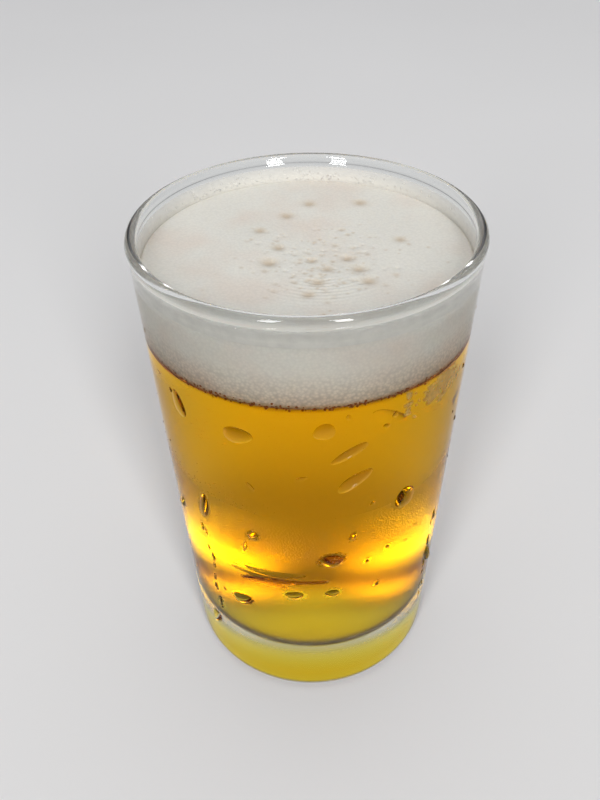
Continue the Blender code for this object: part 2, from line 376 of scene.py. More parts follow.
@dataclass
class Tumbler:
    """The glass: rounded lip, slightly tapered wall, thick base with a rounded foot."""

    height: float
    rim_radius: float
    floor: float
    finish: SodaLimeGlass = field(default_factory=SodaLimeGlass)
    lip_thickness: float = 2.1 * MM
    lip_depth: float = 2.6 * MM
    lip_squash: float = 1.15    # height of the lip's round for its thickness
    lip_sweep: tuple[float, float] = (-30, 210)     # where the round leaves the outer and inner wall
    wall_radius_top: float = 32.2 * MM
    wall_radius_base: float = 29.1 * MM
    wall_top: float = 1.6 * MM
    wall_base: float = 2.2 * MM
    corner_radius: float = 6.0 * MM
    foot_radius: float = 3.5 * MM
    ring_width: float = 5.0 * MM
    punt: float = 0.9 * MM      # rise of the hollow in the underside
    straight: float = 1 * MM    # run of wall between a round and the wall's first row of points
    fog_band: tuple[float, float] = (7 * MM, 72 * MM)
    wiped_edge: float = 0.25    # breadth of the edge of a wiped place, for its radius
    near: float = 0.3 * MM      # how close to a wall a face lies that is dressed as that wall
    segments: int = 288
    outer_rows: int = 140
    inner_rows: int = 60
    lip_points: int = 33
    round_points: int = 16
    punt_points: int = 14
    floor_points: int = 8

    def outside(self, z: Array) -> Array:
        """Radius of the outer wall at height z: a cone that widens evenly upwards."""
        share = z / (self.height - self.lip_depth)
        return self.wall_radius_base + share * (self.wall_radius_top - self.wall_radius_base)

    def inside(self, z: Array) -> Array:
        """Radius of the inner wall at height z: the outer cone less a wall that thins evenly upwards."""
        share = z / (self.height - self.lip_depth)
        return self.outside(z) - self.wall_base - share * (self.wall_top - self.wall_base)

    def lean(self, inner: bool) -> float:
        """Lean of the wall from the vertical, in degrees."""
        radius = self.inside if inner else self.outside
        return math.degrees(math.atan2(radius(2 * self.floor) - radius(self.floor), self.floor))

    def corner(self, grow: float) -> Array:
        """The round between wall and floor, from the wall down, moved into the glass by grow."""
        centre = (self.inside(self.floor + self.corner_radius) - self.corner_radius,
                  self.floor + self.corner_radius)
        return arc(centre, self.corner_radius + grow, -self.lean(inner=True), -90, self.round_points)

    def wall(self, low: float, high: float, grow: float, count: int) -> Array:
        """Points down the inner wall from high to low, moved into the glass by grow."""
        z = np.linspace(high, low, count)
        return np.column_stack((self.inside(z) + grow, z))

    def basin(self, top: float, grow: float, count: int) -> Array:
        """The inner face from a height down the wall, round the corner and in to the middle of the floor.

        Args:
            top: height at which it starts.
            grow: how far it is moved into the glass.
            count: rows of points down the wall.

        Returns:
            One row of radius and height for each point.
        """
        wall = self.wall(self.floor + self.corner_radius + self.straight, top, grow, count)
        corner = self.corner(grow)
        inwards = np.linspace(1, 0, self.floor_points)
        floor = np.column_stack((inwards * corner[-1, 0], np.full(self.floor_points, corner[-1, 1])))
        return np.concatenate((wall, corner, floor[1:]))

    def profile(self) -> Array:
        """The cut through the glass, from the middle of the underside round to the middle of the floor.

        The hollow in the underside is a parabola, and rounds are arcs between straight runs.

        Returns:
            One row of radius and height for each point.
        """
        foot_centre = (self.outside(self.foot_radius) - self.foot_radius, self.foot_radius)
        ring_inner = foot_centre[0] - self.ring_width
        share = np.linspace(0, 1, self.punt_points)
        punt = np.column_stack((ring_inner * share, self.punt * (1 - share ** 2)))
        foot = arc(foot_centre, self.foot_radius, -90, -self.lean(inner=False), self.round_points)
        neck = self.height - self.lip_depth
        z = np.linspace(self.foot_radius + self.straight, neck, self.outer_rows)
        outer = np.column_stack((self.outside(z), z))
        half = self.lip_thickness / 2
        lip_centre = (self.rim_radius - half, self.height - half * self.lip_squash)
        lip = arc(lip_centre, half, *self.lip_sweep, self.lip_points, squash=self.lip_squash)
        return np.concatenate((punt, foot, outer, lip, self.basin(neck, 0.0, self.inner_rows)))

    def fog_left(self, points: Array, wiped: Array) -> Array:
        """How much of the fog is left at each point, from 0 to 1.

        Each wiped place is an oval round the wall. The fog is gone out to the oval's edge and whole
        again a little farther out, by a smooth step of the distance divided by the oval's radius.

        Args:
            points: the points of the glass.
            wiped: rows of azimuth in degrees, height, width and length in mm, bulge, and slant in degrees.

        Returns:
            One share for each point.
        """
        turn = np.degrees(np.arctan2(points[:, 0], -points[:, 1]))[:, None]
        apart = (turn - wiped[:, 0] + 180) % 360 - 180
        across = np.radians(apart) * self.wall_radius_base / MM
        along = points[:, 2:3] / MM - wiped[:, 1]
        slant = np.radians(wiped[:, 5])
        away = np.hypot((across * np.cos(slant) - along * np.sin(slant)) / (0.5 * wiped[:, 2]),
                        (along * np.cos(slant) + across * np.sin(slant)) / (0.5 * wiped[:, 3]))
        step = np.clip((away - 1.0) / self.wiped_edge, 0, 1)
        return (step * step * (3 - 2 * step)).min(axis=1)

    def build(self, wet_level: float, wiped: Array) -> bpy.types.Object:
        """Make the glass, with each wall dressed by what it meets: air, beer, fog or a film of foam.

        Args:
            wet_level: height up to which beer or foam touches the inner wall.
            wiped: rows of the places on the outer wall without fog.

        Returns:
            The glass.
        """
        points, faces = turned(self.profile(), self.segments)
        neck = self.height - self.lip_depth
        slots = []
        for part in faces:
            x, y, z = points[part].mean(axis=1).T
            radius = np.hypot(x, y)
            within = radius < self.inside(z) + self.near
            without = radius > self.outside(z) - self.near
            wetted = within & (z > self.floor - self.near) & (z < wet_level)
            fogged = without & (z > self.foot_radius) & (z < wet_level)
            filmed = within & (z > wet_level) & (z < neck)
            slots.append(wetted + 2 * fogged + 3 * filmed)
        dressed = [self.finish.dry(), self.finish.wetted(), self.finish.fogged(*self.fog_band),
                   self.finish.filmed(wet_level, neck)]
        glass = make_object("tumbler_glass", points, faces, dressed, np.concatenate(slots))
        fog = glass.data.attributes.new("fog", "FLOAT", "POINT")
        fog.data.foreach_set("value", self.fog_left(points, wiped).astype(np.float32))
        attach(glass, "root")
        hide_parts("glass")
        return glass


# The beer


@dataclass(frozen=True)
class LagerBeer:
    """Filtered lager: clear, and golden because it takes blue light and some of the green."""

    ior: float = 1.34
    passed: str = "FFF400"      # hue of the light that is left, before the depth deepens it
    density: float = 118.0      # absorption in each metre of a colour that isn't passed at all

    def material(self) -> bpy.types.Material:
        """Material of the liquid.

        Returns:
            The material.
        """
        material, tree, out = new_material("lager_beer")
        shader = add_node(tree, "BsdfRefraction", {
            "Color": linear("FFFFFF"), "Roughness": 0.0, "IOR": self.ior})
        depth = add_node(tree, "VolumeAbsorption", {
            "Color": linear(self.passed), "Density": self.density})
        tree.links.new(shader.outputs["BSDF"], out.inputs["Surface"])
        tree.links.new(depth.outputs["Volume"], out.inputs["Volume"])
        return material


@dataclass
class Beer:
    """The liquid, from the rounded floor of the glass up into the foam."""

    level: float
    finish: LagerBeer = field(default_factory=LagerBeer)
    into_foam: float = 0.4 * MM
    wall_rows: int = 50
    lid_points: int = 6

    def build(self, glass: Tumbler) -> bpy.types.Object:
        """Make the beer inside a glass, reaching a hair into its wall.

        Args:
            glass: the tumbler that holds it.

        Returns:
            The beer.
        """
        top = self.level + self.into_foam
        outwards = np.linspace(0, 1, self.lid_points)
        lid = np.column_stack((outwards * (glass.inside(top) + REACH), np.full(self.lid_points, top)))
        profile = np.concatenate((lid[:-1], glass.basin(top, REACH, self.wall_rows)))[::-1]
        points, faces = turned(profile, glass.segments)
        beer = make_object("golden_beer", points, faces, [self.finish.material()])
        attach(beer, "root")
        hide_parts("beer")
        return beer


# The foam


class Hollow(NamedTuple):
    """A burst bubble in the top of the foam: centre, radius and depth, in mm."""

    x: float
    y: float
    radius: float
    depth: float


@dataclass(frozen=True)
class BeerFoam:
    """Beer foam: packed bubbles of gas in thin walls of beer, matt and off-white.

    Against the glass it warms towards the beer, which shows between the larger bubbles there.
    Higher up, its side is painted paler than its top: painted light on the side.
    """

    ior: float = 1.34
    roughness: float = 0.55
    pale: str = "F3F0E6"
    blush: str = "F1E8DC"
    tan: str = "CDB697"         # the hollows, where the beer shows through a thin skin
    # tones up the side, from foot to top: warm at the foot where the beer shows; the pale middle, lighter
    # than the top, is painted light
    side: tuple[tuple[float, str], ...] = (
        (0.0, "B07840"), (0.03, "D2AC84"), (0.08, "E2D2BE"),
        (0.25, "F0EAE2"), (0.55, "F6F6F5"), (1.0, "EEEEEE"))
    patch: float = 11 * MM
    cell: float = 0.55 * MM     # breadth of a bubble, coarser than real ones so that they show
    cell_tone: tuple[float, float] = (1.15, 0.72)   # in the middle of a bubble and between bubbles
    cell_show: tuple[float, float] = (1.0, 0.2)     # how much they show at the foot and from cell_top up
    cell_top: float = 0.6       # share of the foam's height
    grain: float = 1.2 * MM
    relief: float = 0.02 * MM
    scatter: float = 1.2 * MM   # how far light spreads in the foam

    def material(self, low: float, high: float) -> bpy.types.Material:
        """Material of the foam: faint blush patches, tan in the hollows, a side painted paler than the top as
        painted light, and a fine relief of bubbles.

        Args:
            low: height of the foam's underside.
            high: height of its top.

        Returns:
            The material.
        """
        material, tree, out = new_material("beer_foam")
        place = add_node(tree, "TexCoord").outputs["Object"]
        patches = add_node(tree, "TexNoise", {"Vector": place, "Scale": 1 / self.patch, "Detail": 2.0})
        tint = add_node(tree, "ValToRGB", {"Fac": patches.outputs["Fac"]},
                        {0.45: linear(self.pale), 0.70: linear(self.blush)})
        hollow = add_node(tree, "Attribute", attribute_name="hollow")
        top = add_node(tree, "Mix", {"Factor": hollow.outputs["Fac"], "A": tint.outputs["Color"],
                                     "B": linear(self.tan)}, data_type="RGBA")
        height = add_node(tree, "SeparateXYZ", {"Vector": place}).outputs["Z"]
        rise = add_node(tree, "MapRange", {"Value": height, "From Min": low, "From Max": high})
        share = rise.outputs["Result"]
        # the side's tones: beer showing at the foot, then a painted lighter band, paler than the top
        side_tint_and_light = add_node(tree, "ValToRGB", {"Fac": share}, {at: linear(code) for at, code in self.side})
        cells = add_node(tree, "TexVoronoi", {"Vector": place, "Scale": 1 / self.cell}).outputs["Distance"]
        dots = add_node(tree, "MapRange", {
            "Value": cells, "From Max": 0.8, "To Min": self.cell_tone[0], "To Max": self.cell_tone[1]})
        shown = add_node(tree, "MapRange", {
            "Value": share, "From Max": self.cell_top,
            "To Min": self.cell_show[0], "To Max": self.cell_show[1]})
        shade = add_node(tree, "Mix", {"Factor": 1.0, "A": top.outputs["Result"], "B": side_tint_and_light.outputs["Color"]},
                         data_type="RGBA", blend_type="MULTIPLY")
        dotted = add_node(tree, "Mix", {"Factor": shown.outputs["Result"], "A": shade.outputs["Result"],
                                        "B": dots.outputs["Result"]},
                          data_type="RGBA", blend_type="MULTIPLY")
        grain = add_node(tree, "TexNoise", {"Vector": place, "Scale": 1 / self.grain, "Detail": 4.0})
        relief = add_node(tree, "Math", {0: cells, 1: grain.outputs["Fac"]}, operation="ADD")
        bump = add_node(tree, "Bump", {"Height": relief.outputs["Value"], "Distance": self.relief,
                                       "Strength": 0.5})
        shader = add_node(tree, "BsdfPrincipled", {
            "Base Color": dotted.outputs["Result"], "Roughness": self.roughness, "IOR": self.ior,
            "Subsurface Weight": 0.5, "Subsurface Radius": (1.0, 0.9, 0.75),
            "Subsurface Scale": self.scatter, "Normal": bump.outputs["Normal"]})
        tree.links.new(shader.outputs["BSDF"], out.inputs["Surface"])
        return material


@dataclass(frozen=True)
class BubbleSkin:
    """Skin of a larger bubble: a thin film of beer, so a little shiny, of the tone that shows through."""

    name: str
    colour: str
    ior: float = 1.34
    roughness: float = 0.4
    sheen: float = 0.2          # less than a free surface, as beer or glass lies against it
    patch: float = 0.9 * MM
    tone: tuple[float, float] = (0.75, 1.25)        # the darkest and the brightest patch

    def material(self) -> bpy.types.Material:
        """Material of the bubbles.

        Returns:
            The material.
        """
        material, tree, out = new_material(self.name)
        place = add_node(tree, "TexCoord").outputs["Object"]
        patches = add_node(tree, "TexNoise", {"Vector": place, "Scale": 1 / self.patch, "Detail": 2.0})
        tone = add_node(tree, "MapRange", {
            "Value": patches.outputs["Fac"], "To Min": self.tone[0], "To Max": self.tone[1]})
        colour = add_node(tree, "HueSaturation", {
            "Color": linear(self.colour), "Value": tone.outputs["Result"]})
        shader = add_node(tree, "BsdfPrincipled", {
            "Base Color": colour.outputs["Color"], "Roughness": self.roughness, "IOR": self.ior,
            "Specular IOR Level": self.sheen})
        tree.links.new(shader.outputs["BSDF"], out.inputs["Surface"])
        return material


@dataclass
class Foam:
    """The head of foam: an uneven top with burst bubbles, and sides against the glass.

    Places and sizes of the small burst bubbles are in mm, as those of the large ones are.
    """

    bottom: float
    top: float
    finish: BeerFoam = field(default_factory=BeerFoam)
    grow: float = 1.5 * REACH   # how far it reaches into the glass, a little past the beer
    sunk: float = 0.7 * MM      # how far the middle of the top lies under its edge
    edge: float = 0.8 * MM      # radius of the round between side and top
    edge_sweep: tuple[float, float] = (10, 80)
    wave_height: float = 0.22 * MM
    wave_runs: tuple[float, float] = (4.6 * MM, 5.8 * MM)
    wave_starts: tuple[float, float] = (0.7, -0.4)
    rings: int = 150
    segments: int = 360
    side_rows: int = 24
    round_points: int = 8
    under_points: int = 6
    small_hollows: int = 240
    small_middle: tuple[float, float] = (3.0, -4.5)
    small_spread: tuple[float, float] = (8.0, 7.0)
    small_radius: tuple[float, float] = (0.22, 0.75)
    small_depth: tuple[float, float] = (0.08, 0.22)     # for their radius
    small_tint: tuple[float, float] = (0.05, 0.55)
    bell: float = 1.6           # how fast a hollow rises again away from its centre
    calm_edge: float = 6.0      # the higher it is, the nearer to the wall the hollows keep their depth
    wrinkled: tuple[float, float] = (3 * MM, -14 * MM)
    wrinkle_reach: float = 6.5 * MM
    wrinkle_narrow: float = 1.4     # how much shorter that reach is from front to back
    wrinkle_bend: float = 12 * MM
    wrinkle_step: float = 1.05 * MM
    wrinkle_depth: float = 0.045 * MM
    hollows: tuple[Hollow, ...] = (
        Hollow(-6.8, -4.0, 1.9, 0.40), Hollow(-5.2, 1.4, 1.5, 0.25), Hollow(-8.9, 8.2, 1.5, 0.20),
        Hollow(1.0, -3.2, 1.2, 0.30), Hollow(3.6, -6.5, 1.4, 0.32), Hollow(1.9, -11.3, 1.6, 0.36),
        Hollow(7.5, -2.7, 1.4, 0.34), Hollow(9.3, -6.9, 1.7, 0.32), Hollow(10.7, -11.2, 1.7, 0.30),
        Hollow(-3.8, 14.5, 1.6, 0.25), Hollow(0.7, 19.3, 1.5, 0.20), Hollow(11.1, 19.4, 1.6, 0.20),
        Hollow(0.2, -15.5, 1.4, 0.28), Hollow(17.7, 3.4, 1.4, 0.20))
    large_tint: float = 0.7

    def scattered(self) -> Array:
        """Small burst bubbles near the middle of the top, thinning out by a bell curve.

        Returns:
            Rows of x, y, radius and depth in mm, and tint from 0 to 1.
        """
        draw = np.random.default_rng(5)
        count = self.small_hollows
        place = draw.normal(0.0, 1.0, (count, 2)) * self.small_spread + self.small_middle
        radius = draw.uniform(*self.small_radius, count)
        depth = radius * draw.uniform(*self.small_depth, count)
        return np.column_stack((place, radius, depth, draw.uniform(*self.small_tint, count)))

    def relief(self, x: Array, y: Array, reach: float) -> tuple[Array, Array]:
        """Height of the top, and how much each point lies in a hollow.

        The top is level at the wall and sinks inwards by a parabola, with a slow wave. Each hollow
        takes away its depth times a bell curve of the distance from its centre.

        Args:
            x: places across.
            y: places along.
            reach: radius at which the top is level.

        Returns:
            The heights and the shares of hollow, from 0 to 1.
        """
        inside = 1 - np.clip(np.hypot(x, y) / reach, 0, 1) ** 2
        waves = (np.sin(x / self.wave_runs[0] + self.wave_starts[0])
                 * np.cos(y / self.wave_runs[1] + self.wave_starts[1]))
        height = self.top - inside * (self.sunk + self.wave_height * waves)
        share = np.zeros_like(x)
        large = np.column_stack((np.array(self.hollows), np.full(len(self.hollows), self.large_tint)))
        for row in np.concatenate((large, self.scattered())):
            away = np.hypot(x - row[0] * MM, y - row[1] * MM) / (row[2] * MM)
            bell = np.exp(-self.bell * away ** 2)
            height = height - row[3] * MM * bell * np.clip(inside * self.calm_edge, 0, 1)
            share = np.maximum(share, row[4] * bell)
        return height - self.wrinkles(x, y), share

    def wrinkles(self, x: Array, y: Array) -> Array:
        """Depth of the curved wrinkles near the front.

        It is a sine of the distance from a point behind them, and fades out from their middle by a
        bell curve that is narrower from front to back.

        Args:
            x: places across.
            y: places along.

        Returns:
            The depths.
        """
        across, along = self.wrinkled
        away = np.hypot(x - across, self.wrinkle_narrow * (y - along)) / self.wrinkle_reach
        rings = np.hypot(x - across, y - along - self.wrinkle_bend) / self.wrinkle_step
        return self.wrinkle_depth * (1 + np.sin(math.tau * rings)) * np.exp(-away ** 2)

    def build(self, glass: Tumbler) -> bpy.types.Object:
        """Make the foam inside a glass, reaching a hair into its wall.

        Args:
            glass: the tumbler that holds it.

        Returns:
            The foam.
        """
        shoulder = glass.inside(self.top) + self.grow - self.edge
        outwards = np.linspace(0, 1, self.under_points)
        under = np.column_stack((outwards * (glass.inside(self.bottom) + self.grow),
                                 np.full(self.under_points, self.bottom)))
        side = glass.wall(self.bottom, self.top - self.edge, self.grow, self.side_rows)[::-1]
        rounded = arc((shoulder, self.top - self.edge), self.edge, *self.edge_sweep, self.round_points)
        across = np.linspace(1, 0, self.rings)
        flat = np.column_stack((shoulder * across, np.full(self.rings, self.top)))
        profile = np.concatenate((under[:-1], side, rounded, flat))
        points, faces = turned(profile, self.segments)
        on_top = points[:, 2] > self.top - HAIR
        share = np.zeros(len(points))
        points[on_top, 2], share[on_top] = self.relief(points[on_top, 0], points[on_top, 1], shoulder)
        foam = make_object("foam_head", points, faces, [self.finish.material(self.bottom, self.top)])
        hollow = foam.data.attributes.new("hollow", "FLOAT", "POINT")
        hollow.data.foreach_set("value", share.astype(np.float32))
        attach(foam, "root")
        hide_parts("foam")
        return foam


# Drops and beads on the glass


@dataclass(frozen=True)
class CondensedWater:
    """Water condensed from the air: clear, with a smooth curved skin."""

    ior: float = 1.333
    fall: float = 1.4           # how fast the skin's mirror fades away from a slant

    def material(self) -> bpy.types.Material:
        """Material of the drops.

        Returns:
            The material.
        """
        material, tree, out = new_material("condensed_water")
        tree.links.new(clear_surface(tree, self.ior, self.fall), out.inputs["Surface"])
        return material


@dataclass
class Caps:
    """Many small caps that sit on one side of the glass wall, made together as one mesh.

    Each row of sizes holds azimuth in degrees (0 at the front, growing to the right), height,
    width, length and bulge in mm, slant in degrees, and how much the belly sags, from 0 to 1.
    """

    rings: int
    flats: int
    wobble: float
    edge: float = 0.75          # 0.5 meets the wall at a right angle, 1 at a slant
    belly: float = 0.3          # how far down a full sag moves the crown, for the cap's length
    reach: float = REACH

    def mesh(self, glass: Tumbler, rows: Array, side: Side, seed: int) -> tuple[Array, list[Array]]:
        """Work out the points and faces of all caps at once.

        A cap is two nets of rings that share their outer ring. At share s of the way out and turn t,
        a point lies at s times half the cap's size, its outline waved by two slow cosines of t. The
        skin stands proud by the bulge times (1 - s squared) to a power under one, and the back lies
        in the wall by the reach. Both are then bent round the wall.

        Args:
            glass: the tumbler they sit on.
            rows: one row of sizes for each cap.
            side: the side of the wall.
            seed: seed of the outlines' waves.

        Returns:
            The points, and the faces as an array of four-sided and one of three-sided faces.
        """
        draw = np.random.default_rng(seed)
        count = len(rows)
        azimuth, height, width, length, bulge, slant, sag = (rows[:, i, None, None] for i in range(7))
        share = np.sin(np.linspace(0, 1, self.rings + 1)[1:] * math.pi / 2)[None, :, None]
        turn = (np.arange(self.flats) * math.tau / self.flats)[None, None, :]
        phase = draw.uniform(0, math.tau, (2, count, 1, 1))
        waved = 1 + self.wobble * (np.cos(2 * turn + phase[0]) + 0.6 * np.cos(3 * turn + phase[1]))
        across = 0.5 * width * share * np.cos(turn) * waved
        along = 0.5 * length * share * np.sin(turn) * waved
        dome = np.clip(1 - share ** 2, 0, 1) ** self.edge * np.ones_like(turn)
        sunk = -self.reach / MM
        skin = self.stack(across, along - sag * self.belly * length * dome, dome * bulge, slant)
        back = self.stack(across[:, :-1], along[:, :-1], np.full_like(along[:, :-1], sunk), slant)
        skin[:, -1, :, 2] = sunk
        centre = np.zeros((count, 2, 3))
        centre[:, 0, 1] = (-self.belly * sag * length)[:, 0, 0]
        centre[:, 0, 2] = bulge[:, 0, 0]
        centre[:, 1, 2] = sunk
        local = np.concatenate((skin.reshape(count, -1, 3), back.reshape(count, -1, 3), centre), axis=1)
        z = (height[:, :, 0] + local[..., 1]) * MM
        wall = glass.outside(z) if side is Side.OUTSIDE else glass.inside(z)
        angle = np.radians(azimuth[:, :, 0]) + local[..., 0] * MM / wall
        radius = wall + side.value * local[..., 2] * MM
        points = np.stack((radius * np.sin(angle), -radius * np.cos(angle), z), axis=-1)
        quads, fans = self.faces()
        if side is Side.INSIDE:
            quads, fans = quads[:, ::-1], fans[:, ::-1]
        offset = (np.arange(count) * points.shape[1])[:, None, None]
        return points.reshape(-1, 3), [(offset + quads).reshape(-1, 4), (offset + fans).reshape(-1, 3)]

    def stack(self, across: Array, along: Array, out: Array, slant: Array) -> Array:
        """Turn flat places by the slant and stack them with their height over the wall.

        Args:
            across: places across each cap.
            along: places along it.
            out: heights over the wall.
            slant: slant of each cap in degrees.

        Returns:
            The places, with their three measures last.
        """
        angle = np.radians(slant)
        x = across * np.cos(angle) + along * np.sin(angle)
        y = along * np.cos(angle) - across * np.sin(angle)
        return np.stack(np.broadcast_arrays(x, y, out), axis=-1)

    def faces(self) -> tuple[Array, Array]:
        """Faces of one cap: its skin, its back and the seam between them, with a fan at each centre.

        Returns:
            The four-sided and the three-sided faces, seen from the side the cap stands out on.
        """
        flats = self.flats
        here = np.arange(flats)
        after = (here + 1) % flats
        ring = np.arange(self.rings - 1)[:, None] * flats
        skin = np.stack((ring + flats + here, ring + flats + after, ring + after, ring + here), axis=-1)
        start = self.rings * flats
        inner = np.arange(self.rings - 2)[:, None] * flats + start
        back = np.stack((inner + here, inner + after, inner + flats + after, inner + flats + here), axis=-1)
        last_back = start + (self.rings - 2) * flats
        last_skin = (self.rings - 1) * flats
        seam = np.column_stack((last_back + here, last_back + after, last_skin + after, last_skin + here))
        top = start + (self.rings - 1) * flats
        fans = np.concatenate((np.column_stack((here, after, np.full(flats, top))),
                               np.column_stack((start + after, start + here, np.full(flats, top + 1)))))
        return np.concatenate((skin.reshape(-1, 4), back.reshape(-1, 4), seam)), fans

    def build(self, name: str, glass: Tumbler, rows: Array, side: Side, seed: int,
              material: bpy.types.Material, slot: Slot) -> bpy.types.Object:
        """Make the caps as one piece that rides with the glass.

        Args:
            name: the piece's name.
            glass: the tumbler they sit on.
            rows: one row of sizes for each cap.
            side: the side of the wall.
            seed: seed of the outlines' waves.
            material: what they are made of.
            slot: the record's slot for it; not used.

        Returns:
            The piece.
        """
        points, faces = self.mesh(glass, rows, side, seed)
        caps = make_object(name, points, faces, [material])
        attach(caps, "root")
        return caps


@dataclass
class Condensation:
    """Drops on the outside of the cold glass: large ones, small ones and a fine mist.

    Widths, lengths and heights are in mm, and azimuths in degrees. The rows of large and middling
    drops hold what Caps gives, and those of streaks the same without the sag.
    """

    finish: CondensedWater = field(default_factory=CondensedWater)
    small: int = 90
    small_width: tuple[float, float] = (0.35, 1.0)
    small_heights: tuple[float, float] = (14, 96)
    trail_width: tuple[float, float] = (0.6, 1.2)
    trail_stretch: tuple[float, float] = (1.4, 3.4)
    trail_bulge: float = 0.26   # for the width
    trail_stray: tuple[float, float] = (1.6, 1.0)   # how far drops lie off the trail and its even steps
    mist: int = 3000
    mist_width: tuple[float, float] = (0.11, 0.26)
    mist_heights: tuple[float, float] = (16, 98)
    mist_middle: float = 57.0   # height of the band where the mist is thickest
    mist_climb: float = 5.0     # how far the band climbs and falls round the glass
    mist_spread: float = 4.0
    dense_share: float = 0.45   # share of the mist that lies in the dense patch at the front left
    dense_place: float = -16.0
    dense_spread: float = 13.0
    bulge: float = 0.22         # of small drops and mist, for the width
    large: tuple[tuple[float, ...], ...] = (
        (-23.3, 82.9, 5.6, 3.6, 0.75, 0, 0.5), (4.7, 85.5, 4.0, 3.4, 0.55, 0, 0.3),
        (-47.8, 83.7, 3.6, 5.6, 0.35, -25, 0.3), (13.0, 79.7, 2.0, 8.0, 0.50, 62, 0.2),
        (15.0, 72.4, 3.2, 7.2, 0.65, 52, 0.2), (36.2, 62.9, 4.4, 5.4, 0.95, 20, 0.5),
        (7.9, 50.3, 5.0, 3.4, 1.00, 0, 0.6), (-21.4, 56.0, 2.4, 3.0, 0.55, 0, 0.4),
        (-29.9, 32.5, 4.6, 3.2, 0.75, -20, 0.4), (-6.7, 38.5, 4.0, 2.6, 0.65, 0, 0.4),
        (8.4, 39.1, 3.0, 2.2, 0.60, 0, 0.4), (-43.5, 58.0, 2.6, 7.5, 0.60, 10, 0.3),
        (-48.9, 16.5, 2.8, 4.6, 0.80, 0, 0.5), (61.0, 33.0, 2.6, 5.0, 0.90, 0, 0.5),
        (118.0, 72.0, 3.6, 4.4, 0.60, 0, 0.5), (163.0, 55.0, 3.4, 4.0, 0.30, 0, 0.5),
        (-150.0, 78.0, 3.4, 5.6, 0.70, 8, 0.4), (-106.0, 48.0, 3.8, 4.2, 0.85, 0, 0.5))
    middling: tuple[tuple[float, ...], ...] = (
        (-2.7, 74.2, 2.5, 0.9, 0.22, -28, 0.1), (-20.4, 70.3, 0.9, 2.6, 0.20, -32, 0.1),
        (22.3, 64.9, 0.9, 1.5, 0.25, 15, 0.3), (27.8, 86.3, 1.2, 1.3, 0.30, 0, 0.3),
        (12.0, 88.3, 1.0, 1.0, 0.25, 0, 0.3), (24.9, 84.3, 1.2, 1.1, 0.28, 0, 0.3),
        (-25.3, 51.7, 0.9, 3.7, 0.25, 12, 0.2), (15.5, 56.6, 1.5, 2.3, 0.45, 10, 0.5),
        (-61.8, 50.9, 1.8, 2.6, 0.60, 0, 0.4), (21.9, 47.4, 1.0, 1.1, 0.28, 0, 0.3),
        (27.4, 38.1, 1.1, 1.2, 0.30, 0, 0.3), (30.5, 49.5, 1.0, 1.1, 0.28, 0, 0.3))
    trails: tuple[tuple[float, float, float, int], ...] = (     # azimuth, low and high end, drops
        (-44.5, 22.0, 51.0, 9), (61.0, 16.0, 46.0, 9), (-112.0, 30.0, 74.0, 10), (150.0, 24.0, 60.0, 9))
    streaks: tuple[tuple[float, ...], ...] = (                  # where drops have run off
        (-17.0, 45.2, 13.0, 1.3, 0.0, 0), (-14.0, 43.1, 18.0, 1.3, 0.0, 0), (-19.0, 41.2, 9.0, 1.2, 0.0, 0))
    fog_kept: float = 100.0     # azimuth from which the fog is whole, or its gaps show through the beer

    def trail_rows(self) -> Array:
        """Drops that have run down the wall, at even steps along each trail and a little off it.

        Returns:
            One row of sizes for each drop.
        """
        draw = np.random.default_rng(13)
        rows = []
        for azimuth, low, high, count in self.trails:
            width = draw.uniform(*self.trail_width, count)
            aside = azimuth + draw.normal(0, self.trail_stray[0], count)
            height = np.linspace(low, high, count) + draw.normal(0, self.trail_stray[1], count)
            rows.append(np.column_stack((
                aside, height, width, width * draw.uniform(*self.trail_stretch, count),
                width * self.trail_bulge, draw.uniform(-12, 12, count), draw.uniform(0.2, 0.5, count))))
        return np.concatenate(rows)

    def small_rows(self) -> Array:
        """Small drops spread evenly round the wall, rounder than the large ones.

        Returns:
            One row of sizes for each drop.
        """
        draw = np.random.default_rng(11)
        width = draw.uniform(*self.small_width, self.small)
        return np.column_stack((
            draw.uniform(-180, 180, self.small), draw.uniform(*self.small_heights, self.small), width,
            width * draw.uniform(0.9, 1.6, self.small), width * self.bulge,
            draw.uniform(-20, 20, self.small), draw.uniform(0.1, 0.4, self.small)))

    def mist_rows(self) -> Array:
        """Fine mist, thickest in a band whose height is a sine of the azimuth, and in one patch of it.

        Returns:
            One row of sizes for each drop.
        """
        draw = np.random.default_rng(12)
        width = draw.uniform(*self.mist_width, self.mist)
        azimuth = draw.uniform(-180, 180, self.mist)
        dense = draw.uniform(0, 1, self.mist) < self.dense_share
        azimuth[dense] = draw.normal(self.dense_place, self.dense_spread, dense.sum())
        middle = self.mist_middle - self.mist_climb * np.sin(np.radians(azimuth * 2 + 60))
        height = (middle + draw.normal(0, self.mist_spread, self.mist)).clip(*self.mist_heights)
        return np.column_stack((
            azimuth, height, width, width * draw.uniform(0.9, 1.3, self.mist), width * self.bulge,
            np.zeros(self.mist), np.zeros(self.mist)))

    def wiped(self) -> Array:
        """Places without fog: under the larger drops, along the trails and where drops have run off.

        Returns:
            Rows of azimuth, height, width, length, bulge and slant.
        """
        drops = np.concatenate((np.array(self.large), np.array(self.middling), self.trail_rows()))[:, :6]
        seen = drops[np.abs(drops[:, 0]) < self.fog_kept]
        return np.concatenate((seen, np.array(self.streaks)))

    def build(self, glass: Tumbler) -> list[bpy.types.Object]:
        """Make the three kinds of drop as three pieces.

        Args:
            glass: the tumbler they sit on.

        Returns:
            The pieces.
        """
        water = self.finish.material()
        small = np.concatenate((np.array(self.middling), self.trail_rows(), self.small_rows()))
        kinds = (("large_drops", Caps(rings=9, flats=32, wobble=0.08), np.array(self.large), 21),
                 ("small_drops", Caps(rings=6, flats=18, wobble=0.10), small, 22),
                 ("fine_mist", Caps(rings=2, flats=6, wobble=0.05), self.mist_rows(), 23))
        return [caps.build(name, glass, rows, Side.OUTSIDE, seed, water, Slot.GLASS)
                for name, caps, rows, seed in kinds]


